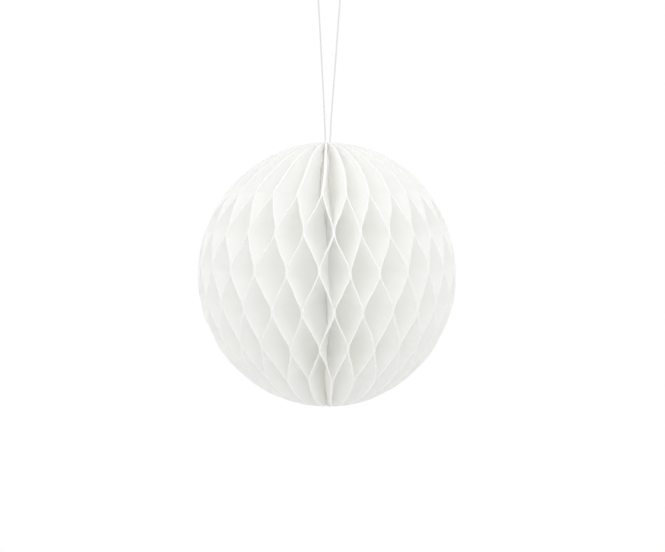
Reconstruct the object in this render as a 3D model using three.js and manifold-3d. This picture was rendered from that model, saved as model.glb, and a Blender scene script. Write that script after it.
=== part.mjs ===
// Honeycomb paper ball that hangs on a doubled thread.
// Half discs of tissue are bonded to their neighbours along staggered glue rows and bound at the straight edge.
// Fanned through a full turn they open into cells, and two end cards stuck together close the ball at the back.
// Millimetres. +Z runs up the spine, the origin is the ball's centre and the front faces -Y.

import * as THREE from "three";
import { mergeVertices } from "three/addons/utils/BufferGeometryUtils.js";
import Module from "manifold-3d";

// Ball outline, an ellipse turned about the spine
const ballHeight = 100;
const ballWidth = 97.5;

// Tissue sheets and the glue rows that bond each one to its two neighbours in turn
const sheetCount = 53;
const sheetThickness = 0.3;
const glueRowPitch = 13.5;
const glueRowHeight = 2.8;
const glueRowDrop = 1;
const shallowestGlueRow = 20;

// End cards, the adhesive between them and the slot in the spine that takes their straight edges
const cardThickness = 0.35;
const cardInset = 0.5;
const adhesiveThickness = 0.15;
const adhesiveWidth = 12;
const adhesiveFromSpine = 10;
const adhesiveEndMargin = 8;
const slotFloor = 1.4;

// Hanging thread and the two holes in the head of the spine that take its ends
const threadDiameter = 0.6;
const threadSpacing = 1.8;
const threadOffset = 0.25;
const threadDepth = 3.6;
const fitGap = 0.3;

// Steps along each stretch of a sheet's edge, and round the other curves
const poleSteps = 5;
const slantSteps = 3;
const cardSteps = 40;
const holeSides = 12;
const threadSides = 8;
const threadSteps = 80;
const weldDistance = 1e-4;

const wasm = await Module();
wasm.setup();

// Sizes that follow from the driving dimensions
const seamWidth = 2 * cardThickness + adhesiveThickness;
const seamHalf = seamWidth / 2 + sheetThickness;
const spineRadius = (sheetCount * sheetThickness + 2 * seamHalf) / (2 * Math.PI);
const headHeight = (ballHeight / 2) * Math.sqrt(1 - (2 * spineRadius / ballWidth) ** 2);
const holeRadius = threadDiameter / 2 + fitGap;
const leftHole = threadOffset - threadSpacing / 2;
const rightHole = threadOffset + threadSpacing / 2;
const cardDepth = ballWidth / 2 - cardInset;
const cardHeight = ballHeight / 2 - cardInset;

function rimRadius(z) {
  return (ballWidth / 2) * Math.sqrt(Math.max(0, 1 - (2 * z / ballHeight) ** 2));
}

// Heights of the glue rows from the top down, as far as the half discs are deep enough to carry one.
// All rows lie a little lower than the ball's centre would have them.
function glueRowHeights() {
  const rows = [];
  for (let z = glueRowPitch / 2; rimRadius(z) > shallowestGlueRow; z += glueRowPitch) {
    rows.unshift(z - glueRowDrop);
    rows.push(-z - glueRowDrop);
  }
  return rows;
}

// Stations down a sheet's edge. Lean is +1 where an even sheet lies on its next neighbour and -1 where it lies
// on the one before. It holds along each glue row, swings over evenly between rows and keeps to the poles.
function edgeStations() {
  const stations = [];
  const addStretch = (top, bottom, leanTop, leanBottom, steps) => {
    const angleTop = Math.asin(2 * top / ballHeight);
    const angleBottom = Math.asin(2 * bottom / ballHeight);
    for (let step = 0; step < steps; step += 1) {
      const share = step / steps;
      const z = (ballHeight / 2) * Math.sin(THREE.MathUtils.lerp(angleTop, angleBottom, share));
      const lean = THREE.MathUtils.lerp(leanTop, leanBottom, share);
      stations.push({ z, lean, rim: rimRadius(z) });
    }
  };
  let top = headHeight;
  let lean = 1;
  glueRowHeights().forEach((row, index) => {
    const rowLean = index % 2 === 0 ? 1 : -1;
    const rowTop = row + glueRowHeight / 2;
    const rowBottom = row - glueRowHeight / 2;
    addStretch(top, rowTop, lean, rowLean, index === 0 ? poleSteps : slantSteps);
    addStretch(rowTop, rowBottom, rowLean, rowLean, 1);
    top = rowBottom;
    lean = rowLean;
  });
  addStretch(top, -headHeight, lean, lean, poleSteps);
  stations.push({ z: -headHeight, lean, rim: spineRadius });
  return stations;
}

// Point where two neighbouring sheets would meet, counted round from the seam at the back by way of -X.
// Shift moves it along the arc.
function meetingPoint(index, radius, z, shift = 0) {
  const seamAngle = Math.asin(seamHalf / radius);
  const turn = (2 * Math.PI - 2 * seamAngle) / sheetCount;
  const angle = seamAngle + index * turn + shift / radius;
  return new THREE.Vector3(-radius * Math.sin(angle), radius * Math.cos(angle), z);
}

// Corner of a sheet's edge, on the side of the sheet before it or of the sheet after it.
// The arc that a sheet can swing over is what the rim has more than the packed spine.
function sheetCorner(sheet, after, station) {
  const swing = 2 * Math.PI * (station.rim - spineRadius) / sheetCount;
  const lean = sheet % 2 === 0 ? station.lean : -station.lean;
  if (after) {
    return meetingPoint(sheet, station.rim, station.z, -swing * (1 - lean) / 2);
  }
  return meetingPoint(sheet - 1, station.rim, station.z, swing * (1 + lean) / 2);
}

// Edges on the two sides of a meeting plane. At the seam one side is the flat sheet that is pasted to a card.
function edgeBefore(index, station) {
  return index === 0 ? meetingPoint(0, station.rim, station.z) : sheetCorner(index, true, station);
}

function edgeAfter(index, station) {
  const last = index === sheetCount;
  return last ? meetingPoint(index, station.rim, station.z) : sheetCorner(index + 1, false, station);
}

// Closed skin of all bonded sheets: their rim edges, the walls of the cells between them and the spine's two ends
function bondedSheetsGeometry() {
  const positions = [];
  const stations = edgeStations();
  const same = (a, b) => a.distanceTo(b) < weldDistance;
  const addTriangle = (a, b, c) => {
    if (!same(a, b) && !same(b, c) && !same(c, a)) {
      positions.push(...a, ...b, ...c);
    }
  };
  const addQuad = (a, b, c, d) => {
    addTriangle(a, b, c);
    addTriangle(a, c, d);
  };
  for (let row = 0; row + 1 < stations.length; row += 1) {
    const upper = stations[row];
    const lower = stations[row + 1];
    for (let index = 0; index <= sheetCount; index += 1) {
      const next = index === sheetCount ? 0 : index + 1;
      const before = [edgeBefore(index, upper), edgeBefore(index, lower)];
      const after = [edgeAfter(index, upper), edgeAfter(index, lower)];
      const root = [upper, lower].map((station) => meetingPoint(index, spineRadius, station.z));
      addQuad(after[0], after[1], edgeBefore(next, lower), edgeBefore(next, upper));
      if (!same(before[0], after[0]) || !same(before[1], after[1])) {
        addQuad(before[0], before[1], root[1], root[0]);
        addTriangle(after[0], root[1], after[1]);
        addTriangle(after[0], root[0], root[1]);
      }
    }
  }
  const headCentre = new THREE.Vector3(0, 0, headHeight);
  const footCentre = new THREE.Vector3(0, 0, -headHeight);
  for (let index = 0; index <= sheetCount; index += 1) {
    const next = index === sheetCount ? 0 : index + 1;
    const head = [index, next].map((at) => meetingPoint(at, spineRadius, headHeight));
    const foot = [index, next].map((at) => meetingPoint(at, spineRadius, -headHeight));
    addTriangle(headCentre, head[0], head[1]);
    addTriangle(footCentre, foot[1], foot[0]);
  }
  const geometry = new THREE.BufferGeometry();
  geometry.setAttribute("position", new THREE.Float32BufferAttribute(positions, 3));
  return geometry;
}

function toSolid(geometry) {
  const bare = geometry.clone();
  bare.deleteAttribute("normal");
  bare.deleteAttribute("uv");
  const welded = mergeVertices(bare, weldDistance);
  const vertProperties = new Float32Array(welded.getAttribute("position").array);
  const triVerts = new Uint32Array(welded.getIndex().array);
  return new wasm.Manifold(new wasm.Mesh({ numProp: 3, vertProperties, triVerts }));
}

function toGeometry(solid) {
  const mesh = solid.getMesh();
  const geometry = new THREE.BufferGeometry();
  geometry.setAttribute("position", new THREE.BufferAttribute(mesh.vertProperties, 3));
  geometry.setIndex(new THREE.BufferAttribute(mesh.triVerts, 1));
  geometry.computeVertexNormals();
  return geometry;
}

// Slot along the whole spine at the back, open to the rim, for the end cards
function seamSlotGeometry() {
  const depth = ballWidth / 2;
  return new THREE.BoxGeometry(seamWidth, depth, ballHeight).translate(0, slotFloor + depth / 2, 0);
}

function threadHoleGeometry(x) {
  const hole = new THREE.CylinderGeometry(holeRadius, holeRadius, 2 * (threadDepth + fitGap), holeSides);
  return hole.rotateX(Math.PI / 2).translate(x, 0, headHeight);
}

function honeycombPaperGeometry() {
  const solid = toSolid(bondedSheetsGeometry())
    .subtract(toSolid(seamSlotGeometry()))
    .subtract(toSolid(threadHoleGeometry(leftHole)))
    .subtract(toSolid(threadHoleGeometry(rightHole)));
  return toGeometry(solid);
}

// Turns a flat shape drawn in (depth from the axis, height) and extruded upwards into one that stands on the seam
function standOnSeam(geometry) {
  const frame = new THREE.Matrix4().set(0, 0, 1, 0, 1, 0, 0, 0, 0, 1, 0, 0, 0, 0, 0, 1);
  return geometry.applyMatrix4(frame);
}

// Half disc of card whose straight edge stands in the slot of the spine
function endCardGeometry() {
  const straightEdge = slotFloor + fitGap;
  const corner = Math.acos(straightEdge / cardDepth);
  const outline = new THREE.Shape();
  outline.absellipse(0, 0, cardDepth, cardHeight, -corner, corner, false);
  outline.closePath();
  const options = { depth: cardThickness, bevelEnabled: false, curveSegments: cardSteps };
  return standOnSeam(new THREE.ExtrudeGeometry(outline, options));
}

// Strip of adhesive that runs up between the cards beside the spine and stops short of their rim
function adhesiveStripGeometry() {
  const inner = adhesiveFromSpine;
  const outer = adhesiveFromSpine + adhesiveWidth;
  const end = cardHeight * Math.sqrt(1 - (outer / cardDepth) ** 2) - adhesiveEndMargin;
  const outline = new THREE.Shape();
  outline.moveTo(inner, -end).lineTo(outer, -end).lineTo(outer, end).lineTo(inner, end).closePath();
  const options = { depth: adhesiveThickness, bevelEnabled: false };
  return standOnSeam(new THREE.ExtrudeGeometry(outline, options));
}

// Route of the thread as (x, height above the head of the spine): out of the left hole, over the loop, into the right
const threadRoute = [
  [leftHole, -threadDepth],
  [leftHole, -threadDepth / 2],
  [leftHole, 0.8],
  [-0.66, 3],
  [-0.8, 7],
  [-1.2, 16],
  [-1.8, 27],
  [-2.35, 38],
  [-2.95, 49],
  [-3.4, 59],
  [-3.3, 63],
  [-2, 66.2],
  [1, 67.8],
  [4, 66.2],
  [5.3, 63],
  [5.4, 59],
  [4.65, 49],
  [3.8, 38],
  [3, 27],
  [2.15, 16],
  [1.5, 7],
  [1.36, 3],
  [rightHole, 0.8],
  [rightHole, -threadDepth / 2],
  [rightHole, -threadDepth],
];

function hangingThreadGeometry() {
  const points = threadRoute.map(([x, above]) => new THREE.Vector3(x, 0, headHeight + above));
  const route = new THREE.CatmullRomCurve3(points, false, "centripetal");
  const corners = [];
  for (let side = 0; side < threadSides; side += 1) {
    const angle = 2 * Math.PI * side / threadSides;
    corners.push(new THREE.Vector2(Math.cos(angle), Math.sin(angle)).multiplyScalar(threadDiameter / 2));
  }
  const section = new THREE.Shape(corners);
  return new THREE.ExtrudeGeometry(section, { steps: threadSteps, extrudePath: route, bevelEnabled: false });
}

// Finishes
const tissue = new THREE.MeshStandardMaterial({ color: 0xf3f2ee, roughness: 0.95, metalness: 0 });
const card = new THREE.MeshStandardMaterial({ color: 0xf7f6f2, roughness: 0.85, metalness: 0 });
const adhesive = new THREE.MeshStandardMaterial({ color: 0xe6e2d4, roughness: 0.5, metalness: 0 });
const cotton = new THREE.MeshStandardMaterial({ color: 0xe9e8e4, roughness: 0.9, metalness: 0 });

const ball = new THREE.Group();

function addPiece(name, geometry, material, x = 0) {
  const piece = new THREE.Mesh(geometry, material);
  piece.name = name;
  piece.position.x = x;
  ball.add(piece);
}

addPiece("honeycomb_paper", honeycombPaperGeometry(), tissue);
addPiece("left_end_card", endCardGeometry(), card, -seamWidth / 2);
addPiece("right_end_card", endCardGeometry(), card, adhesiveThickness / 2);
addPiece("adhesive_strip", adhesiveStripGeometry(), adhesive, -adhesiveThickness / 2);
addPiece("hanging_thread", hangingThreadGeometry(), cotton);

export default ball;
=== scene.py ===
"""Finish and studio for a white honeycomb paper ball that hangs on a doubled thread.

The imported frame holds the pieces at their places. This script makes the tissue honeycomb in full detail,
spins the thread along its route, dresses the end cards and the adhesive, and sets up a plain white studio.
Metres. +Z runs up the spine, the origin is the ball's centre and the front faces -Y.
"""

import logging
import math
from dataclasses import dataclass, field
from enum import Enum

import bmesh
import bpy
import numpy as np
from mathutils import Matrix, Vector


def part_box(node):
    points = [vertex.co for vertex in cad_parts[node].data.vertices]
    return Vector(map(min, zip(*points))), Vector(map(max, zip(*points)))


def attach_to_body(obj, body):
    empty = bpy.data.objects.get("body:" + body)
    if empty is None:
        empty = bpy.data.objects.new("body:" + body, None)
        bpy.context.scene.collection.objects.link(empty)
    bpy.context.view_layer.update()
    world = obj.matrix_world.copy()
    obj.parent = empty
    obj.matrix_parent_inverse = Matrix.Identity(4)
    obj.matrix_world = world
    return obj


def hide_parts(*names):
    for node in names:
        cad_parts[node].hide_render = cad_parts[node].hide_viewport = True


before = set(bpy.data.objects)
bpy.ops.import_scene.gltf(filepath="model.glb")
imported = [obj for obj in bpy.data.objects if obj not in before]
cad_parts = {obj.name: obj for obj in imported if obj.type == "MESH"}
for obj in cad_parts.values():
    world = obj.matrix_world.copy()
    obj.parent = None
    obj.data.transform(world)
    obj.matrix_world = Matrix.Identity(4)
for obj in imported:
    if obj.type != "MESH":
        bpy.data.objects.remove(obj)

LOG = logging.getLogger("honeycomb_ball")
BODY = "root"
MILLIMETRE = 0.001
WHITE = (1.0, 1.0, 1.0, 1.0)

# Sockets of the Mix node, which has a set of them for each type of data.
MIX_FACTOR = 0
MIX_VECTORS = (4, 5)
MIX_VECTOR_OUT = 1
MIX_COLOURS = (6, 7)
MIX_COLOUR_OUT = 2

Colour = tuple[float, float, float, float]
Fade = tuple[float, float]
Profile = tuple[tuple[float, float], ...]
Node = bpy.types.Node
Socket = bpy.types.NodeSocket
Inputs = dict[str | int, object]


class Piece(Enum):
    """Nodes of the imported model."""

    HONEYCOMB = "honeycomb_paper"
    LEFT_CARD = "left_end_card"
    RIGHT_CARD = "right_end_card"
    ADHESIVE = "adhesive_strip"
    THREAD = "hanging_thread"


class Slot(Enum):
    """Names of material slots, which attach is given but does not read."""

    TISSUE = "tissue"
    THREAD = "thread"


class NodeBoard:
    """Adds nodes to one shader tree and links them."""

    def __init__(self, tree: bpy.types.NodeTree) -> None:
        """Empties the tree and keeps it."""
        self.tree = tree
        tree.nodes.clear()

    def add(self, kind: str, inputs: Inputs | None = None, **settings: object) -> Node:
        """Adds one node.

        Args:
            kind: Blender's type name of the node.
            inputs: Plain values or output sockets for the node's inputs, by name or number.
            settings: Properties of the node, such as operation.

        Returns:
            The new node.
        """
        node = self.tree.nodes.new(kind)
        for name, value in settings.items():
            setattr(node, name, value)
        for name, value in (inputs or {}).items():
            if isinstance(value, Socket):
                self.tree.links.new(value, node.inputs[name])
            else:
                node.inputs[name].default_value = value
        return node

    def place(self) -> Socket:
        """Gives the place on the object."""
        return self.add("ShaderNodeTexCoord").outputs["Object"]

    def math(self, operation: str, *values: object) -> Socket:
        """Adds a Math node with its values in order and gives the result."""
        node = self.add("ShaderNodeMath", dict(enumerate(values)), operation=operation)
        return node.outputs[0]

    def noise(self, vector: Socket, scale: object, detail: float, roughness: float) -> Socket:
        """Adds a noise of so many features to the metre, in as many octaves as the detail says."""
        inputs = {"Vector": vector, "Scale": scale, "Detail": detail, "Roughness": roughness}
        return self.add("ShaderNodeTexNoise", inputs).outputs["Fac"]

    def fade(self, vector: Socket, distances: Fade) -> Socket:
        """Fades from 0 to 1 with the distance from the origin.

        Args:
            vector: The place.
            distances: Where the fade starts and where it ends.

        Returns:
            The fade.
        """
        reach = self.add("ShaderNodeVectorMath", {0: vector}, operation="LENGTH").outputs["Value"]
        ramp = {"Value": reach, "From Min": distances[0], "From Max": distances[1]}
        return self.add("ShaderNodeMapRange", ramp, interpolation_type="SMOOTHSTEP").outputs[0]

    def mix(self, factor: Socket, one: Colour | Socket, other: Colour | Socket) -> Socket:
        """Mixes two colours, the factor being the share of the second."""
        inputs = {MIX_FACTOR: factor, MIX_COLOURS[0]: one, MIX_COLOURS[1]: other}
        return self.add("ShaderNodeMix", inputs, data_type="RGBA").outputs[MIX_COLOUR_OUT]

    def bump(self, height: Socket, strength: float, distance: float) -> Socket:
        """Bends the normal by a relief, of which the strength is the share that shows."""
        relief = {"Height": height, "Strength": strength, "Distance": distance}
        return self.add("ShaderNodeBump", relief).outputs["Normal"]

    def blend(self, factor: float | Socket, one: Node, other: Node) -> Node:
        """Mixes two shaders, the factor being the share of the second."""
        return self.add("ShaderNodeMixShader", {0: factor, 1: one.outputs[0], 2: other.outputs[0]})

    def shown(self) -> Socket:
        """Tells rays that show the background from rays that only light the object.

        Returns:
            1 for rays from the camera, by way of gloss or glass too, and else 0.
        """
        path = self.add("ShaderNodeLightPath").outputs
        shown = self.math("MAXIMUM", path["Is Camera Ray"], path["Is Glossy Ray"])
        shown = self.math("MAXIMUM", shown, path["Is Transmission Ray"])
        return self.math("MULTIPLY", shown, self.math("SUBTRACT", 1.0, path["Is Diffuse Ray"]))

    def surface(self, shader: Node) -> None:
        """Makes a shader the surface of the material."""
        self.add("ShaderNodeOutputMaterial", {"Surface": shader.outputs[0]})


def new_material(name: str) -> tuple[bpy.types.Material, NodeBoard]:
    """Makes an empty node material.

    Args:
        name: Name of the material.

    Returns:
        The material and the board of its tree.
    """
    material = bpy.data.materials.new(name)
    material.use_nodes = True
    return material, NodeBoard(material.node_tree)


@dataclass(frozen=True)
class PaperFibre:
    """Node group for the cloudy, fibrous surface that tissue and card share.

    Attributes:
        name: Name of the group.
        cloud_detail: Octaves of the thicker and thinner places.
        cloud_roughness: Weight of their finer octaves.
        fibre_detail: Octaves of the fibres.
        fibre_roughness: Weight of their finer octaves.
        fibre_bend: How far the fibres are bent.
        noise_mean: Mean of a noise, round which the colour and the roughness vary.
    """

    name: str = "paper_fibre"
    cloud_detail: float = 3.0
    cloud_roughness: float = 0.6
    fibre_detail: float = 5.0
    fibre_roughness: float = 0.7
    fibre_bend: float = 0.0012
    noise_mean: float = 0.5

    def group(self) -> bpy.types.NodeTree:
        """Builds the group once.

        Returns:
            The group, with inputs for the paper's values and the outputs Colour, Roughness and Height.
        """
        if self.name in bpy.data.node_groups:
            return bpy.data.node_groups[self.name]
        tree = bpy.data.node_groups.new(self.name, "ShaderNodeTree")
        tree.interface.new_socket("Colour", in_out="INPUT", socket_type="NodeSocketColor")
        for name in ("Cloud Scale", "Cloud Depth", "Fibre Scale", "Roughness", "Roughness Range"):
            tree.interface.new_socket(name, in_out="INPUT", socket_type="NodeSocketFloat")
        tree.interface.new_socket("Colour", in_out="OUTPUT", socket_type="NodeSocketColor")
        for name in ("Roughness", "Height"):
            tree.interface.new_socket(name, in_out="OUTPUT", socket_type="NodeSocketFloat")
        board = NodeBoard(tree)
        given = board.add("NodeGroupInput").outputs
        place = board.place()
        cloud = board.noise(place, given["Cloud Scale"], self.cloud_detail, self.cloud_roughness)
        bend = board.add("ShaderNodeTexNoise", {"Vector": place, "Scale": given["Fibre Scale"]})
        bending = {
            MIX_FACTOR: self.fibre_bend,
            MIX_VECTORS[0]: place,
            MIX_VECTORS[1]: bend.outputs["Color"],
        }
        bent = board.add("ShaderNodeMix", bending, data_type="VECTOR").outputs[MIX_VECTOR_OUT]
        fibre = board.noise(bent, given["Fibre Scale"], self.fibre_detail, self.fibre_roughness)
        thickness = board.math("SUBTRACT", cloud, self.noise_mean)
        level = board.math("ADD", board.math("MULTIPLY", thickness, given["Cloud Depth"]), 1.0)
        dimming = {0: given["Colour"], "Scale": level}
        colour = board.add("ShaderNodeVectorMath", dimming, operation="SCALE").outputs[0]
        stray = board.math("SUBTRACT", fibre, self.noise_mean)
        spread = board.math("MULTIPLY", stray, given["Roughness Range"])
        roughness = board.math("ADD", given["Roughness"], spread)
        board.add("NodeGroupOutput", {"Colour": colour, "Roughness": roughness, "Height": fibre})
        return tree


@dataclass(frozen=True)
class PaperFinish:
    """Paper that lets no light through.

    Attributes:
        name: Name of the material.
        colour: Colour of the paper.
        cloud_scale: Thicker and thinner places to the metre.
        cloud_depth: How much their colour varies.
        fibre_scale: Fibres to the metre.
        roughness: Mean roughness.
        roughness_range: How much the roughness varies.
        specular: Strength of the sheen.
        relief: Depth of the fibres' relief, 0 for none.
        relief_strength: Share of the relief that shows.
    """

    name: str
    colour: Colour
    cloud_scale: float
    cloud_depth: float
    fibre_scale: float
    roughness: float
    roughness_range: float
    specular: float
    relief: float = 0.0
    relief_strength: float = 0.0

    def shader(self, board: NodeBoard, colour: Colour | Socket) -> Node:
        """Builds the paper's shader.

        Args:
            board: Board of the material.
            colour: Colour of the paper, or the socket that gives it.

        Returns:
            The shader.
        """
        values = {
            "Colour": colour,
            "Cloud Scale": self.cloud_scale,
            "Cloud Depth": self.cloud_depth,
            "Fibre Scale": self.fibre_scale,
            "Roughness": self.roughness,
            "Roughness Range": self.roughness_range,
        }
        paper = board.add("ShaderNodeGroup", values, node_tree=PaperFibre().group()).outputs
        inputs = {
            "Base Color": paper["Colour"],
            "Roughness": paper["Roughness"],
            "Specular IOR Level": self.specular,
        }
        if self.relief:
            inputs["Normal"] = board.bump(paper["Height"], self.relief_strength, self.relief)
        return board.add("ShaderNodeBsdfPrincipled", inputs)

    def material(self) -> bpy.types.Material:
        """Builds the material.

        Returns:
            The paper's material.
        """
        material, board = new_material(self.name)
        board.surface(self.shader(board, self.colour))
        return material


@dataclass(frozen=True)
class TissueFinish(PaperFinish):
    """Thin white tissue that lets a share of the light through, with its plain colour at the rim and a
    paler colour towards the spine, which is painted light that lifts the shade deep in the cells.

    Attributes:
        painted_light_inner: Paler colour within the ball, painted light that lifts the shade in the cells.
        painted_light_core: Palest colour close to the spine, painted light that keeps the deepest gaps
            light.
        fade: Distances from the centre between which the paler, painted-light colour within goes over into
            the rim's plain colour.
        core_fade: Distances from the middle of the palest part between which its painted light goes over
            into the paler colour within.
        core_squash: Share of a height that counts in that distance.
        core_shift: Added to the squashed height, so that the middle of the palest part lies below the
            centre.
        glow: Colour of the light that comes through.
        translucency: Share of the light that comes through.
    """

    name: str = "white_tissue"
    colour: Colour = (0.985, 0.9846, 0.9795, 1.0)
    cloud_scale: float = 260.0
    cloud_depth: float = 0.01
    fibre_scale: float = 2600.0
    roughness: float = 0.9
    roughness_range: float = 0.12
    specular: float = 0.15
    relief: float = 0.00004
    relief_strength: float = 0.2
    painted_light_inner: Colour = (0.998, 0.9983, 0.9983, 1.0)
    painted_light_core: Colour = (0.9999, 0.9999, 0.9999, 1.0)
    fade: Fade = (0.022, 0.046)
    core_fade: Fade = (0.006, 0.018)
    core_squash: float = 0.35
    core_shift: float = 0.004
    glow: Colour = (0.9993, 0.9995, 0.9993, 1.0)
    translucency: float = 0.15

    def material(self) -> bpy.types.Material:
        """Builds the material.

        Returns:
            The tissue's material.
        """
        material, board = new_material(self.name)
        place = board.place()
        # The colour grows paler towards the spine: painted light that lifts the shade deep in the cells.
        shade = board.mix(board.fade(place, self.fade), self.painted_light_inner, self.colour)
        squash = {0: place, 1: (1.0, 1.0, self.core_squash), 2: (0.0, 0.0, self.core_shift)}
        squashed = board.add("ShaderNodeVectorMath", squash, operation="MULTIPLY_ADD").outputs[0]
        shade = board.mix(board.fade(squashed, self.core_fade), self.painted_light_core, shade)
        glow = board.add("ShaderNodeBsdfTranslucent", {"Color": self.glow})
        board.surface(board.blend(self.translucency, self.shader(board, shade), glow))
        return material


@dataclass(frozen=True)
class CutEdgeFinish(PaperFinish):
    """Cut edge of the tissue, which is seen end on."""

    name: str = "tissue_cut_edge"
    colour: Colour = (0.94, 0.939, 0.922, 1.0)
    cloud_scale: float = 700.0
    cloud_depth: float = 0.05
    fibre_scale: float = 5000.0
    roughness: float = 0.9
    roughness_range: float = 0.1
    specular: float = 0.15


@dataclass(frozen=True)
class CardFinish(PaperFinish):
    """Smooth white card."""

    name: str = "white_card"
    colour: Colour = (0.9, 0.895, 0.865, 1.0)
    cloud_scale: float = 160.0
    cloud_depth: float = 0.02
    fibre_scale: float = 1500.0
    roughness: float = 0.75
    roughness_range: float = 0.1
    specular: float = 0.3
    relief: float = 0.00002
    relief_strength: float = 0.5


@dataclass(frozen=True)
class AdhesiveFinish:
    """Milky double-sided adhesive.

    Attributes:
        light: Colour of the lighter places.
        dark: Colour of the darker places.
        cloud_scale: Such places to the metre.
        roughness: Roughness.
    """

    light: Colour = (0.84, 0.82, 0.74, 1.0)
    dark: Colour = (0.74, 0.72, 0.62, 1.0)
    cloud_scale: float = 400.0
    roughness: float = 0.45

    def material(self) -> bpy.types.Material:
        """Builds the material.

        Returns:
            The adhesive's material.
        """
        material, board = new_material("milky_adhesive")
        cloud = board.noise(board.place(), self.cloud_scale, detail=4.0, roughness=0.6)
        board.surface(board.add("ShaderNodeBsdfPrincipled", {
            "Base Color": board.mix(cloud, self.dark, self.light),
            "Roughness": self.roughness,
        }))
        return material


@dataclass(frozen=True)
class CottonFinish:
    """Soft white cotton with fine fuzz.

    Attributes:
        light: Colour of the lighter fibres.
        dark: Colour of the darker fibres.
        fibre_scale: Fibres to the metre.
        roughness: Roughness.
        specular: Strength of the sheen.
        fuzz_relief: Depth of the fuzz.
        fuzz_strength: Share of that depth that shows.
    """

    light: Colour = (0.86, 0.865, 0.865, 1.0)
    dark: Colour = (0.7, 0.705, 0.705, 1.0)
    fibre_scale: float = 9000.0
    roughness: float = 0.9
    specular: float = 0.1
    fuzz_relief: float = 0.00003
    fuzz_strength: float = 0.5

    def material(self) -> bpy.types.Material:
        """Builds the material.

        Returns:
            The thread's material.
        """
        material, board = new_material("white_cotton")
        fibre = board.noise(board.place(), self.fibre_scale, detail=3.0, roughness=0.6)
        board.surface(board.add("ShaderNodeBsdfPrincipled", {
            "Base Color": board.mix(fibre, self.dark, self.light),
            "Roughness": self.roughness,
            "Specular IOR Level": self.specular,
            "Normal": board.bump(fibre, self.fuzz_strength, self.fuzz_relief),
        }))
        return material


@dataclass(frozen=True)
class FloorFinish:
    """Pale matte floor that keeps the ball's real shadow and shows as plain white further out; the grey
    disc under the ball, before it turns white, is painted shadow.

    Attributes:
        pale: Colour of the darker grains.
        paler: Colour of the lighter grains.
        grain_scale: Grains to the metre.
        roughness: Roughness.
        specular: Strength of the sheen.
        fade: Distances from the middle between which the floor turns white, leaving a grey disc of painted
            shadow under the ball.
    """

    pale: Colour = (0.81, 0.81, 0.81, 1.0)
    paler: Colour = (0.83, 0.83, 0.83, 1.0)
    grain_scale: float = 30.0
    roughness: float = 0.9
    specular: float = 0.1
    fade: Fade = (0.1, 0.24)

    def material(self) -> bpy.types.Material:
        """Builds the material.

        Returns:
            The floor's material.
        """
        material, board = new_material("white_floor")
        place = board.place()
        grain = board.noise(place, self.grain_scale, detail=3.0, roughness=0.5)
        matte = board.add("ShaderNodeBsdfPrincipled", {
            "Base Color": board.mix(grain, self.pale, self.paler),
            "Roughness": self.roughness,
            "Specular IOR Level": self.specular,
        })
        white = board.add("ShaderNodeEmission", {"Color": WHITE, "Strength": 1.0})
        # The grey disc inside the fade, under the ball, is painted shadow round the real one.
        factor = board.math("MULTIPLY", board.shown(), board.fade(place, self.fade))
        board.surface(board.blend(factor, matte, white))
        return material


def mesh_object(name: str, bm: bmesh.types.BMesh, material: bpy.types.Material) -> bpy.types.Object:
    """Turns a bmesh into an object of the scene.

    Args:
        name: Name of the object and its mesh.
        bm: The mesh, which is freed.
        material: Its first material.

    Returns:
        The new object.
    """
    mesh = bpy.data.meshes.new(name)
    bm.to_mesh(mesh)
    bm.free()
    mesh.materials.append(material)
    piece = bpy.data.objects.new(name, mesh)
    bpy.context.scene.collection.objects.link(piece)
    return piece


def close_skin(bm: bmesh.types.BMesh) -> None:
    """Turns all faces of a closed mesh outwards and shades them smooth.

    Args:
        bm: The mesh.
    """
    bmesh.ops.recalc_face_normals(bm, faces=bm.faces)
    for face in bm.faces:
        face.smooth = True


def attach(piece: bpy.types.Object, slot: Slot, *nodes: Piece) -> None:
    """Lets a piece ride on the body in place of CAD nodes.

    Args:
        piece: The new piece.
        slot: Material slot; not used.
        nodes: Nodes that it stands for.
    """
    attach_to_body(piece, BODY)
    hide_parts(*(node.value for node in nodes))


@dataclass(frozen=True)
class EdgeStations:
    """Stations down the rim edge of a sheet, from the head of the spine to its foot.

    Attributes:
        height: Height of each station on an even sheet.
        lean: +1 where an even sheet lies on the next one, -1 where it lies on the one before.
        knot: Number of the knot at the top of its stretch, a knot being an end of a glue row or the spine.
        share: Share of the way from that knot to the one below.
    """

    height: np.ndarray
    lean: np.ndarray
    knot: np.ndarray
    share: np.ndarray


@dataclass(frozen=True)
class SheetRims:
    """Where the rims of all sheets run, by sheet and station.

    Attributes:
        lean: +1 where a sheet lies on the next one, -1 where it lies on the one before.
        height: Height above the ball's centre.
        near: Angle of the face towards the sheet before.
        far: Angle of the face towards the next sheet.
    """

    lean: np.ndarray
    height: np.ndarray
    near: np.ndarray
    far: np.ndarray


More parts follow.
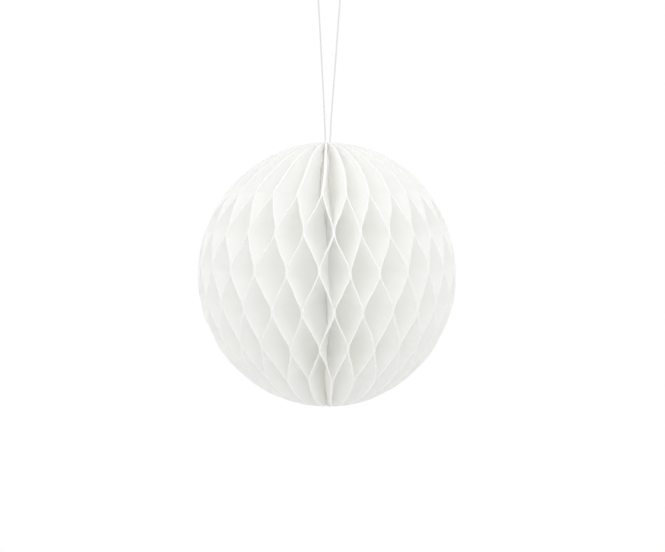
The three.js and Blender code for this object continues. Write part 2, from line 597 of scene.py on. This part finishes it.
@dataclass
class HoneycombPaper:
    """Half discs of tissue, bonded in staggered rows and fanned round the spine.

    A meeting plane lies between each sheet and the next, and holds a column of cells with a wall on either
    side. The first and the last plane lie beside the pasted sheets.

    Attributes:
        ball_height: Height of the outline, an ellipse turned about the spine.
        ball_width: Width of the outline.
        sheet_count: Sheets between the two that are pasted to the end cards.
        sheet_thickness: Thickness of one sheet.
        row_count: Number of glue rows.
        row_pitch: Distance between two glue rows.
        row_drop: How far the middle of the rows lies below the ball's centre.
        bond_height: Height of one glue row.
        fold_rounding: Shares of a slant that bend, below the upper bond and above the lower one.
        seam_width: Width of the slot that takes the end cards.
        slot_floor: Distance from the axis at which the slot ends.
        fan_drift: Uneven opening of the fan at the front, to both sides and to one side.
        bond_scatter: Scatter of the bonds' heights.
        fan_scatter: Scatter of the meeting planes' angles.
        rim_scatter: Unevenness of the cut rim.
        rim_waves: Waves of the cut rim: how many go round the ball, and radians to the metre of height.
        ripple: Depth of the soft waves in a free stretch of tissue.
        ripple_waves: Radians of each to the metre of height and from the rim to the spine, and its weight.
        ripple_growth: Their depth at the rim, and what is added to it towards the spine.
        bow: Heights, from the foot up, and how far the front sheets bow to the right there.
        bow_place: Power of the way out from the spine that is 1/2 where the bow is deepest.
        spine_sway: Heights and how far the front of the spine lies to the right there.
        rim_sway: Heights and how far the front of the rim lies to the right there.
        seed: Start of the random draws.
        pole_steps: Steps from a pole to the nearest glue row.
        bond_steps: Steps along a bond.
        slant_steps: Steps between two rows.
        wall_steps: Steps from the rim to the spine.
        weld: Distance within which points become one.
        crease: Angle in degrees from which an edge is sharp.
        bond_shift: Drawn shift of each bond, by meeting plane and row.
        fan_shift: Drawn shift of each meeting plane's angle.
        wave_phase: Drawn phases of each sheet's waves.
    """

    ball_height: float = 0.1
    ball_width: float = 0.0975
    sheet_count: int = 53
    sheet_thickness: float = 0.00038
    row_count: int = 6
    row_pitch: float = 0.0135
    row_drop: float = 0.001
    bond_height: float = 0.0016
    fold_rounding: tuple[float, float] = (0.06, 0.18)
    seam_width: float = 0.00085
    slot_floor: float = 0.0014
    fan_drift: tuple[float, float] = (0.043, 0.09)
    bond_scatter: float = 0.0004
    fan_scatter: float = 0.006
    rim_scatter: float = 0.00015
    rim_waves: tuple[tuple[int, float], ...] = ((5, 90.0), (11, -260.0), (23, 410.0))
    ripple: float = 0.00015
    ripple_waves: tuple[tuple[float, float, float], ...] = (
        (420.0, 3.0, 1.0),
        (900.0, -7.0, 0.7),
        (1600.0, 9.0, 0.5),
    )
    ripple_growth: tuple[float, float] = (0.6, 1.6)
    bow: Profile = (
        (-0.05, 0.0),
        (-0.034, -0.0013),
        (-0.02, 0.0011),
        (-0.008, 0.0),
        (0.008, 0.0011),
        (0.017, 0.0013),
        (0.03, 0.0034),
        (0.041, 0.0028),
        (0.05, 0.0),
    )
    bow_place: float = 0.6
    spine_sway: Profile = (
        (0.017, 0.0),
        (0.03, -0.0041),
        (0.04, -0.0039),
        (0.046, -0.0016),
        (0.0486, 0.0),
    )
    rim_sway: Profile = (
        (-0.05, 0.0),
        (-0.0475, 0.0007),
        (-0.043, 0.0),
        (0.02, 0.0),
        (0.031, 0.0005),
        (0.04, 0.0012),
        (0.047, 0.0007),
        (0.05, 0.0),
    )
    seed: int = 11
    pole_steps: int = 10
    bond_steps: int = 2
    slant_steps: int = 9
    wall_steps: int = 10
    weld: float = 1e-7
    crease: float = 35.0
    bond_shift: np.ndarray = field(init=False)
    fan_shift: np.ndarray = field(init=False)
    wave_phase: np.ndarray = field(init=False)

    def __post_init__(self) -> None:
        """Draws the irregularities in one fixed order."""
        draw = np.random.default_rng(self.seed)
        self.bond_shift = self.bond_scatter * draw.standard_normal((self.sheet_count + 1, self.row_count))
        self.fan_shift = self.fan_scatter * draw.standard_normal(self.sheet_count + 1)
        self.fan_shift[[0, -1]] = 0.0
        self.wave_phase = draw.uniform(0.0, 2.0 * math.pi, (self.sheet_count, len(self.ripple_waves)))

    @property
    def row_levels(self) -> list[float]:
        """Heights of the glue rows, from the top down."""
        middle = (self.row_count - 1) / 2
        return [(middle - row) * self.row_pitch - self.row_drop for row in range(self.row_count)]

    @property
    def seam_half(self) -> float:
        """Half the width of the slot with the pasted sheets on both sides."""
        return self.seam_width / 2 + self.sheet_thickness

    @property
    def spine_radius(self) -> float:
        """Radius at which the sheets lie tight against each other."""
        return (self.sheet_count * self.sheet_thickness + 2 * self.seam_half) / (2 * math.pi)

    @property
    def head_height(self) -> float:
        """Height at which the outline has shrunk to the spine."""
        return self.ball_height / 2 * math.sqrt(1 - (2 * self.spine_radius / self.ball_width) ** 2)

    def rim_radius(self, height: np.ndarray) -> np.ndarray:
        """Gives the outline's radius at each height above the ball's centre."""
        return self.ball_width / 2 * np.sqrt(np.maximum(0.0, 1 - (2 * height / self.ball_height) ** 2))

    def openness(self, radius: np.ndarray) -> np.ndarray:
        """Gives how far out a radius lies, from 0 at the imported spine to 1 at the widest rim."""
        share = (radius - self.spine_radius) / (self.ball_width / 2 - self.spine_radius)
        return np.clip(share, 0.0, 1.0)

    def fold(self, share: np.ndarray) -> np.ndarray:
        """Gives the way across from one bond to the next, straight with rounded ends.

        Args:
            share: Share of the way down.

        Returns:
            Share of the way across.
        """
        leaving, landing = self.fold_rounding
        slope = 1 / (1 - (leaving + landing) / 2)
        middle = slope * (share - leaving / 2)
        start = slope * share**2 / (2 * leaving)
        end = 1 - slope * (1 - share) ** 2 / (2 * landing)
        return np.where(share < leaving, start, np.where(share > 1 - landing, end, middle))

    def stations(self) -> EdgeStations:
        """Lays out the stations down a sheet's edge.

        Returns:
            The stations.
        """
        knots = [self.head_height]
        leans = [1.0]
        for number, level in enumerate(self.row_levels):
            knots += [level + self.bond_height / 2, level - self.bond_height / 2]
            leans += [1.0 - 2.0 * (number % 2)] * 2
        knots.append(-self.head_height)
        leans.append(leans[-1])
        heights, lean, knot, shares = [], [], [], []
        last = len(knots) - 2
        for number in range(last + 1):
            steps = self.bond_steps if number % 2 else self.slant_steps
            if number in (0, last):
                steps = self.pole_steps
            share = np.arange(steps + (number == last)) / steps
            turn = np.arcsin(2 * np.array(knots[number:number + 2]) / self.ball_height)
            heights.append(self.ball_height / 2 * np.sin(turn[0] + (turn[1] - turn[0]) * share))
            lean.append(leans[number] + (leans[number + 1] - leans[number]) * self.fold(share))
            knot.append(np.full(share.shape, number))
            shares.append(share)
        return EdgeStations(*(np.concatenate(part) for part in (heights, lean, knot, shares)))

    def sheet_heights(self, stations: EdgeStations) -> np.ndarray:
        """Gives the stations' heights on every sheet, which follow the scatter of the bonds.

        Args:
            stations: Stations of an even sheet.

        Returns:
            Heights, by sheet and station.
        """
        sheet = np.arange(1, self.sheet_count + 1)[:, None]
        row = np.arange(self.row_count)[None, :]
        bonded_plane = np.where((sheet + row) % 2 == 0, sheet, sheet - 1)
        shift = np.zeros((self.sheet_count, 2 * self.row_count + 2))
        shift[:, 1:-1] = np.repeat(self.bond_shift[bonded_plane, row], 2, axis=1)
        above = shift[:, stations.knot]
        below = shift[:, stations.knot + 1]
        return stations.height + above + (below - above) * stations.share

    def meeting_angle(self, plane: np.ndarray, radius: np.ndarray) -> np.ndarray:
        """Gives the angle of a meeting plane, from the seam at the back by way of -X.

        Args:
            plane: Number of the plane, 0 and sheet_count being those of the pasted sheets.
            radius: Distance from the axis.

        Returns:
            The angle of each plane at each radius.
        """
        seam = np.arcsin(self.seam_half / radius)
        angle = seam + plane * (2 * math.pi - 2 * seam) / self.sheet_count
        front = angle - math.pi
        both_sides, one_side = self.fan_drift
        facing = (1 + np.cos(front)) / 2
        drift = facing * (both_sides * np.sin(front) + one_side * (1 - np.cos(front)))
        return angle - self.openness(radius) * (drift - self.fan_shift[plane])

    def rim_point(self, angle: np.ndarray, height: np.ndarray) -> np.ndarray:
        """Gives a point of the cut rim.

        Args:
            angle: Angle from the seam by way of -X.
            height: Height above the ball's centre.

        Returns:
            The points, with a last axis of x, y and z.
        """
        radius = self.rim_radius(height)
        uneven = sum(np.sin(turns * angle + climb * height) for turns, climb in self.rim_waves)
        radius = radius + self.rim_scatter / 2 * uneven * self.openness(radius)
        return np.stack([-radius * np.sin(angle), radius * np.cos(angle), height], axis=-1)

    def ripples(self, rims: SheetRims) -> np.ndarray:
        """Gives how far each sheet waves out of its plane.

        Args:
            rims: The sheets' rims.

        Returns:
            Distances by sheet, station and step from the rim to the spine.
        """
        depth = np.linspace(0.0, 1.0, self.wall_steps + 1)
        z = rims.height[:, :, None]
        wave = np.zeros(1)
        for (climb, inward, weight), phase in zip(self.ripple_waves, self.wave_phase.T):
            wave = wave + weight * np.sin(climb * z + inward * depth + phase[:, None, None])
        free = (1 - rims.lean**2)[:, :, None]
        at_rim, added = self.ripple_growth
        return self.ripple * wave * free * (1 - depth) * (at_rim + added * depth)

    @staticmethod
    def smooth_through(z: np.ndarray, profile: Profile) -> np.ndarray:
        """Runs a smooth line through a profile.

        Args:
            z: Heights at which the line is read.
            profile: Rising heights and the values there, the first and the last of which go on beyond.

        Returns:
            The line at each height.
        """
        levels, shifts = np.array(profile).T
        number = np.clip(np.searchsorted(levels, z) - 1, 0, len(levels) - 2)
        share = np.clip((z - levels[number]) / (levels[number + 1] - levels[number]), 0.0, 1.0)
        return shifts[number] + (shifts[number + 1] - shifts[number]) * share**2 * (3 - 2 * share)

    def swayed(self, points: np.ndarray) -> np.ndarray:
        """Moves the sheets at the front sideways, all neighbours alike.

        Args:
            points: Points of the sheets, with a last axis of x, y and z.

        Returns:
            The moved points.
        """
        x, y, z = np.moveaxis(points, -1, 0)
        radius = np.hypot(x, y)
        span = np.maximum(self.rim_radius(z) - self.spine_radius, self.sheet_thickness)
        reach = np.clip((radius - self.spine_radius) / span, 0.0, 1.0)
        belly = np.sin(math.pi * reach**self.bow_place) ** 2
        facing = (1 - y / np.maximum(radius, self.spine_radius)) / 2
        sway = self.smooth_through(z, self.bow) * belly
        sway += self.smooth_through(z, self.spine_sway) * (1 - reach)
        sway += self.smooth_through(z, self.rim_sway) * reach * facing
        return np.stack([x + facing * sway, y, z], axis=-1)

    def sheet_rims(self) -> SheetRims:
        """Swings every sheet from one neighbour to the other between the bonds.

        Returns:
            The sheets' rims.
        """
        stations = self.stations()
        sheet = np.arange(1, self.sheet_count + 1)[:, None]
        lean = np.where(sheet % 2 == 0, 1.0, -1.0) * stations.lean
        height = self.sheet_heights(stations)
        radius = self.rim_radius(height)
        first = self.meeting_angle(sheet - 1, radius)
        last = self.meeting_angle(sheet, radius)
        swing = np.maximum(last - first - self.sheet_thickness / radius, 0.0)
        swing[:, [0, -1]] = 0.0
        return SheetRims(lean, height, first + swing * (1 + lean) / 2, last - swing * (1 - lean) / 2)

    def spine_lines(self, height: np.ndarray) -> np.ndarray:
        """Gives the lines down the spine at which the walls of the cells meet.

        Args:
            height: Heights by sheet and station.

        Returns:
            Points by meeting plane and station.
        """
        level = (np.concatenate([height[:1], height]) + np.concatenate([height, height[-1:]])) / 2
        radius = np.full(level.shape, self.spine_radius)
        angle = self.meeting_angle(np.arange(self.sheet_count + 1)[:, None], radius)
        return np.stack([-radius * np.sin(angle), radius * np.cos(angle), level], axis=-1)

    def cell_walls(self, rims: SheetRims, spine: np.ndarray) -> tuple[np.ndarray, np.ndarray]:
        """Spans the two walls of every column of cells from the rim to the spine.

        Args:
            rims: The sheets' rims.
            spine: Lines down the spine.

        Returns:
            The walls before and after each meeting plane, by plane, station and step inwards.
        """
        seam_height = rims.height[[0, -1]]
        seam_plane = np.array([[0], [self.sheet_count]])
        seam = self.rim_point(self.meeting_angle(seam_plane, self.rim_radius(seam_height)), seam_height)
        edge_before = np.concatenate([seam[:1], self.rim_point(rims.far, rims.height)])
        edge_after = np.concatenate([self.rim_point(rims.near, rims.height), seam[1:]])
        depth = np.linspace(0.0, 1.0, self.wall_steps + 1)[:, None]
        ripple = self.ripples(rims)[..., None]
        walls = []
        for edge, angle, own_sheets in (
            (edge_before, rims.far, slice(1, None)),
            (edge_after, rims.near, slice(None, -1)),
        ):
            wall = edge[:, :, None] * (1 - depth) + spine[:, :, None] * depth
            tangent = np.stack([-np.cos(angle), -np.sin(angle), np.zeros_like(angle)], axis=-1)
            wall[own_sheets] += ripple * tangent[:, :, None]
            walls.append(self.swayed(wall))
        return walls[0], walls[1]

    def slot_side(self, edge: np.ndarray, side: int) -> tuple[np.ndarray, np.ndarray]:
        """Gives two lines down one side of the slot for the end cards.

        Args:
            edge: Rim of the pasted sheet.
            side: -1 for the side at -X, 1 for the other.

        Returns:
            The lip of the slot and the corner at its floor.
        """
        half = self.seam_width / 2
        reach = np.linalg.norm(edge[:, :2], axis=1)
        across = np.full(reach.shape, side * half)
        lip = np.stack([across, np.sqrt(reach**2 - half**2), edge[:, 2]], axis=-1)
        corner = np.stack([across, np.full(reach.shape, self.slot_floor), edge[:, 2]], axis=-1)
        return lip, corner

    @staticmethod
    def strip(one: np.ndarray, other: np.ndarray) -> np.ndarray:
        """Spans quads between two lines of points, or between pairs of lines, and gives their corners."""
        lines = [one[..., :-1, :], one[..., 1:, :], other[..., 1:, :], other[..., :-1, :]]
        return np.stack(lines, axis=-2).reshape(-1, 4, 3)

    @staticmethod
    def wall_quads(wall: np.ndarray, is_open: np.ndarray) -> np.ndarray:
        """Cuts a wall into quads where the stretch below a station is open, and gives their corners."""
        corners = [wall[:, :-1, :-1], wall[:, 1:, :-1], wall[:, 1:, 1:], wall[:, :-1, 1:]]
        return np.stack(corners, axis=-2)[is_open].reshape(-1, 4, 3)

    def build(self) -> bpy.types.Object:
        """Makes the closed skin of all bonded sheets and dresses it.

        Returns:
            The tissue as one piece.
        """
        rims = self.sheet_rims()
        spine = self.spine_lines(rims.height)
        before, after = self.cell_walls(rims, spine)
        bonded = np.concatenate([rims.lean[:1] <= -1, rims.lean >= 1])
        is_open = ~(bonded[:, :-1] & bonded[:, 1:])
        left_edge = before[0, :, 0]
        right_edge = after[-1, :, 0]
        left_lip, left_corner = self.slot_side(left_edge, -1)
        right_lip, right_corner = self.slot_side(right_edge, 1)
        walls = [
            self.wall_quads(before, is_open),
            self.wall_quads(after, is_open),
            self.strip(left_lip, left_corner),
            self.strip(right_lip, right_corner),
            self.strip(left_corner, right_corner),
        ]
        edges = [
            self.strip(after[:-1, :, 0], before[1:, :, 0]),
            self.strip(left_edge, left_lip),
            self.strip(right_edge, right_lip),
        ]
        caps = []
        for end in (0, -1):
            loop = [left_corner[end], left_lip[end], *spine[:, end], right_lip[end], right_corner[end]]
            caps.append(np.array(loop))
        return self.skin(np.concatenate(walls), np.concatenate(edges), caps)

    def skin(self, walls: np.ndarray, edges: np.ndarray, caps: list[np.ndarray]) -> bpy.types.Object:
        """Welds walls, cut edges and end caps into one closed mesh.

        Args:
            walls: Corners of the quads in the walls of the cells and the slot.
            edges: Corners of the quads along the cut edges.
            caps: Corners of the two ends of the spine.

        Returns:
            The tissue.
        """
        quads = np.concatenate([walls, edges])
        points = np.concatenate([quads.reshape(-1, 3), *caps])
        faces = np.arange(len(quads) * 4).reshape(-1, 4).tolist()
        start = len(quads) * 4
        for cap in caps:
            faces.append(list(range(start, start + len(cap))))
            start += len(cap)
        mesh = bpy.data.meshes.new("loose_tissue")
        mesh.from_pydata(points.tolist(), [], faces)
        finish = np.ones(len(faces), dtype=np.int32)
        finish[:len(walls)] = 0
        mesh.polygons.foreach_set("material_index", finish)
        bm = bmesh.new()
        bm.from_mesh(mesh)
        bpy.data.meshes.remove(mesh)
        bmesh.ops.remove_doubles(bm, verts=bm.verts, dist=self.weld)
        close_skin(bm)
        piece = mesh_object("tissue_honeycomb", bm, TissueFinish().material())
        piece.data.materials.append(CutEdgeFinish().material())
        piece.data.set_sharp_from_angle(angle=math.radians(self.crease))
        attach(piece, Slot.TISSUE, Piece.HONEYCOMB)
        return piece


@dataclass
class HangingThread:
    """Twisted cotton thread whose two ends go into the head of the spine.

    Attributes:
        foot_height: Height of the head of the spine.
        diameter: Outer diameter of the thread.
        spacing: Distance between its two ends.
        offset: How far to the right of the axis the middle between the two ends lies.
        depth: How deep the ends go into the spine.
        plies: Strands that are twisted together.
        groove: Depth of the grooves between the plies, as a share of the radius.
        twist_length: Length of one turn of the twist.
        sides: Sides of the section.
        step: Distance between two sections.
        curve_points: Points that a curve has between two points of the route.
        path_stride: Sections from one point of the path to the next; not used.
    """

    foot_height: float
    diameter: float = 0.0006
    spacing: float = 0.0018
    offset: float = 0.00025
    depth: float = 0.0036
    plies: int = 3
    groove: float = 0.12
    twist_length: float = 0.0022
    sides: int = 15
    step: float = 0.00018
    curve_points: int = 60
    path_stride: int = 6

    def route(self) -> np.ndarray:
        """Gives the route's points, from the left end over the loop to the right end.

        Returns:
            Points in metres.
        """
        left = (self.offset - self.spacing / 2) / MILLIMETRE
        right = (self.offset + self.spacing / 2) / MILLIMETRE
        deep = self.depth / MILLIMETRE
        points = [
            (left, -deep),
            (left, -deep / 2),
            (left, 0.8),
            (-0.66, 3),
            (-0.8, 7),
            (-1.2, 16),
            (-1.8, 27),
            (-2.35, 38),
            (-2.95, 49),
            (-3.4, 59),
            (-3.3, 63),
            (-2, 66.2),
            (1, 67.8),
            (4, 66.2),
            (5.3, 63),
            (5.4, 59),
            (4.65, 49),
            (3.8, 38),
            (3, 27),
            (2.15, 16),
            (1.5, 7),
            (1.36, 3),
            (right, 0.8),
            (right, -deep / 2),
            (right, -deep),
        ]
        across, above = np.array(points).T * MILLIMETRE
        return np.stack([across, np.zeros_like(across), self.foot_height + above], axis=-1)

    def centreline(self) -> np.ndarray:
        """Runs a smooth curve through the route and divides it evenly.

        Returns:
            Points one step apart.
        """
        route = self.route()
        ends = np.concatenate([[2 * route[0] - route[1]], route, [2 * route[-1] - route[-2]]])
        share = np.linspace(0.0, 1.0, self.curve_points, endpoint=False)[:, None]
        dense = []
        for p0, p1, p2, p3 in zip(ends, ends[1:], ends[2:], ends[3:]):
            gaps = [math.sqrt(np.linalg.norm(b - a)) for a, b in ((p0, p1), (p1, p2), (p2, p3))]
            start = (p1 - p0) / gaps[0] - (p2 - p0) / (gaps[0] + gaps[1]) + (p2 - p1) / gaps[1]
            end = (p2 - p1) / gaps[1] - (p3 - p1) / (gaps[1] + gaps[2]) + (p3 - p2) / gaps[2]
            start, end = start * gaps[1], end * gaps[1]
            bend = 3 * (p2 - p1) - 2 * start - end
            twist = 2 * (p1 - p2) + start + end
            dense.append(p1 + start * share + bend * share**2 + twist * share**3)
        line = np.concatenate([*dense, route[-1:]])
        run = np.concatenate([[0.0], np.cumsum(np.linalg.norm(np.diff(line, axis=0), axis=1))])
        even = np.linspace(0.0, run[-1], int(run[-1] / self.step) + 1)
        return np.stack([np.interp(even, run, line[:, axis]) for axis in range(3)], axis=-1)

    def sections(self, line: np.ndarray, length: float) -> np.ndarray:
        """Gives the grooved sections, which turn along the thread.

        Args:
            line: Points of the centreline.
            length: Its length.

        Returns:
            Points by section and side.
        """
        along = np.gradient(line, axis=0)
        along /= np.linalg.norm(along, axis=1)[:, None]
        across = np.array([0.0, 1.0, 0.0])
        side = np.cross(across, along)
        angle = np.arange(self.sides) * 2 * math.pi / self.sides
        turn = np.linspace(0.0, 2 * math.pi * length / self.twist_length, len(line))[:, None]
        radius = self.diameter / 2 * (1 - self.groove * (1 - np.cos(self.plies * (angle - turn))) / 2)
        offset = np.cos(angle)[None, :, None] * side[:, None] + np.sin(angle)[None, :, None] * across
        return line[:, None] + radius[..., None] * offset

    def build(self) -> bpy.types.Object:
        """Returns:
            The thread.
        """
        line = self.centreline()
        length = float(np.linalg.norm(np.diff(line, axis=0), axis=1).sum())
        bm = bmesh.new()
        rings = self.sections(line, length).tolist()
        verts = [[bm.verts.new(point) for point in ring] for ring in rings]
        for ring, following in zip(verts, verts[1:]):
            for number in range(self.sides):
                after = (number + 1) % self.sides
                bm.faces.new((ring[number], ring[after], following[after], following[number]))
        bm.faces.new(verts[0])
        bm.faces.new(verts[-1])
        close_skin(bm)
        piece = mesh_object("twisted_thread", bm, CottonFinish().material())
        attach(piece, Slot.THREAD, Piece.THREAD)
        return piece


@dataclass
class SeamCards:
    """End cards and the adhesive between them, which keep their CAD shape.

    Attributes:
        card: Finish of both cards.
        adhesive: Finish of the adhesive.
    """

    card: CardFinish = CardFinish()
    adhesive: AdhesiveFinish = AdhesiveFinish()

    def build(self) -> list[bpy.types.Object]:
        """Dresses the three nodes.

        Returns:
            The dressed nodes.
        """
        card = self.card.material()
        finishes = {
            Piece.LEFT_CARD: card,
            Piece.RIGHT_CARD: card,
            Piece.ADHESIVE: self.adhesive.material(),
        }
        dressed = []
        for node, material in finishes.items():
            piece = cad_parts[node.value]
            piece.data.materials.clear()
            piece.data.materials.append(material)
            dressed.append(piece)
        return dressed


@dataclass
class Studio:
    """White floor and background, soft light and the camera.

    Attributes:
        image_size: Width and height of the picture in pixels.
        ball_pixel: Where the ball's centre lies in the picture.
        elevation: Angle of the camera above the horizon in degrees.
        distance: Distance from the camera to the ball's centre.
        lens: Focal length in millimetres.
        sensor: Width of the sensor in millimetres.
        near_clip: Distance from which the camera sees.
        floor_level: Height of the floor.
        floor_size: Width of the floor.
        bounces: Limit of a ray's bounces, high enough for the depths of the cells.
        sky: Strength of the light from the front and the sides.
        sky_back: Strength of the light from behind.
        sky_front: Direction of the front.
        sky_turn: Cosines to the front between which the light from behind goes over into that from it.
    """

    image_size: tuple[int, int] = (665, 552)
    ball_pixel: tuple[float, float] = (327.0, 274.5)
    elevation: float = 7.0
    distance: float = 0.439
    lens: float = 62.5
    sensor: float = 36.0
    near_clip: float = 0.01
    floor_level: float = -0.28
    floor_size: float = 6.0
    bounces: int = 1024
    sky: float = 1.115
    sky_back: float = 0.75
    sky_front: tuple[float, float, float] = (0.0, -0.94, -0.34)
    sky_turn: Fade = (-1.1, -0.1)

    def build(self) -> None:
        """Sets up the camera, the light and the floor."""
        bpy.context.scene.view_settings.view_transform = "Standard"
        cycles = bpy.context.scene.cycles
        cycles.max_bounces = self.bounces
        cycles.diffuse_bounces = self.bounces
        cycles.transmission_bounces = self.bounces
        self.camera()
        self.sky_light()
        self.floor()

    def camera(self) -> None:
        """Places the camera so that the ball's centre falls on its pixel."""
        tilt = math.radians(self.elevation)
        away = Vector((0.0, -math.cos(tilt), math.sin(tilt)))
        right = Vector((1.0, 0.0, 0.0))
        up = right.cross(-away)
        pixel = self.distance * self.sensor / self.lens / self.image_size[0]
        aim = right * (self.image_size[0] / 2 - self.ball_pixel[0]) * pixel
        aim += up * (self.ball_pixel[1] - self.image_size[1] / 2) * pixel
        data = bpy.data.cameras.new("camera")
        data.lens = self.lens
        data.sensor_width = self.sensor
        data.sensor_fit = "HORIZONTAL"
        data.clip_start = self.near_clip
        camera = bpy.data.objects.new("camera", data)
        camera.location = aim + away * self.distance
        camera.rotation_euler = away.to_track_quat("Z", "Y").to_euler()
        bpy.context.scene.collection.objects.link(camera)
        bpy.context.scene.camera = camera

    def sky_light(self) -> None:
        """Lights the object softly from all sides, in front of a white background."""
        world = bpy.data.worlds.new("white_studio")
        world.use_nodes = True
        bpy.context.scene.world = world
        board = NodeBoard(world.node_tree)
        towards = board.add("ShaderNodeTexCoord").outputs["Generated"]
        front = {0: towards, 1: self.sky_front}
        facing = board.add("ShaderNodeVectorMath", front, operation="DOT_PRODUCT").outputs["Value"]
        ramp = {
            "Value": facing,
            "From Min": self.sky_turn[0],
            "From Max": self.sky_turn[1],
            "To Min": self.sky_back,
            "To Max": self.sky,
        }
        strength = board.add("ShaderNodeMapRange", ramp, interpolation_type="SMOOTHSTEP").outputs[0]
        light = board.add("ShaderNodeBackground", {"Color": WHITE, "Strength": strength})
        white = board.add("ShaderNodeBackground", {"Color": WHITE, "Strength": 1.0})
        both = board.blend(board.shown(), light, white)
        board.add("ShaderNodeOutputWorld", {"Surface": both.outputs[0]})

    def floor(self) -> None:
        """Lays the floor."""
        bm = bmesh.new()
        bmesh.ops.create_grid(bm, x_segments=1, y_segments=1, size=self.floor_size / 2)
        floor = mesh_object("floor", bm, FloorFinish().material())
        floor.location.z = self.floor_level


def main() -> None:
    """Builds the studio and the pieces in order."""
    logging.basicConfig(level=logging.INFO, format="%(name)s: %(message)s")
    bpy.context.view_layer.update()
    Studio().build()
    spine_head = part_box(Piece.HONEYCOMB.value)[1].z
    pieces = [HangingThread(foot_height=spine_head).build(), HoneycombPaper().build(), *SeamCards().build()]
    for piece in pieces:
        LOG.info("%s: %d faces", piece.name, len(piece.data.polygons))


if __name__ == "__main__":
    main()
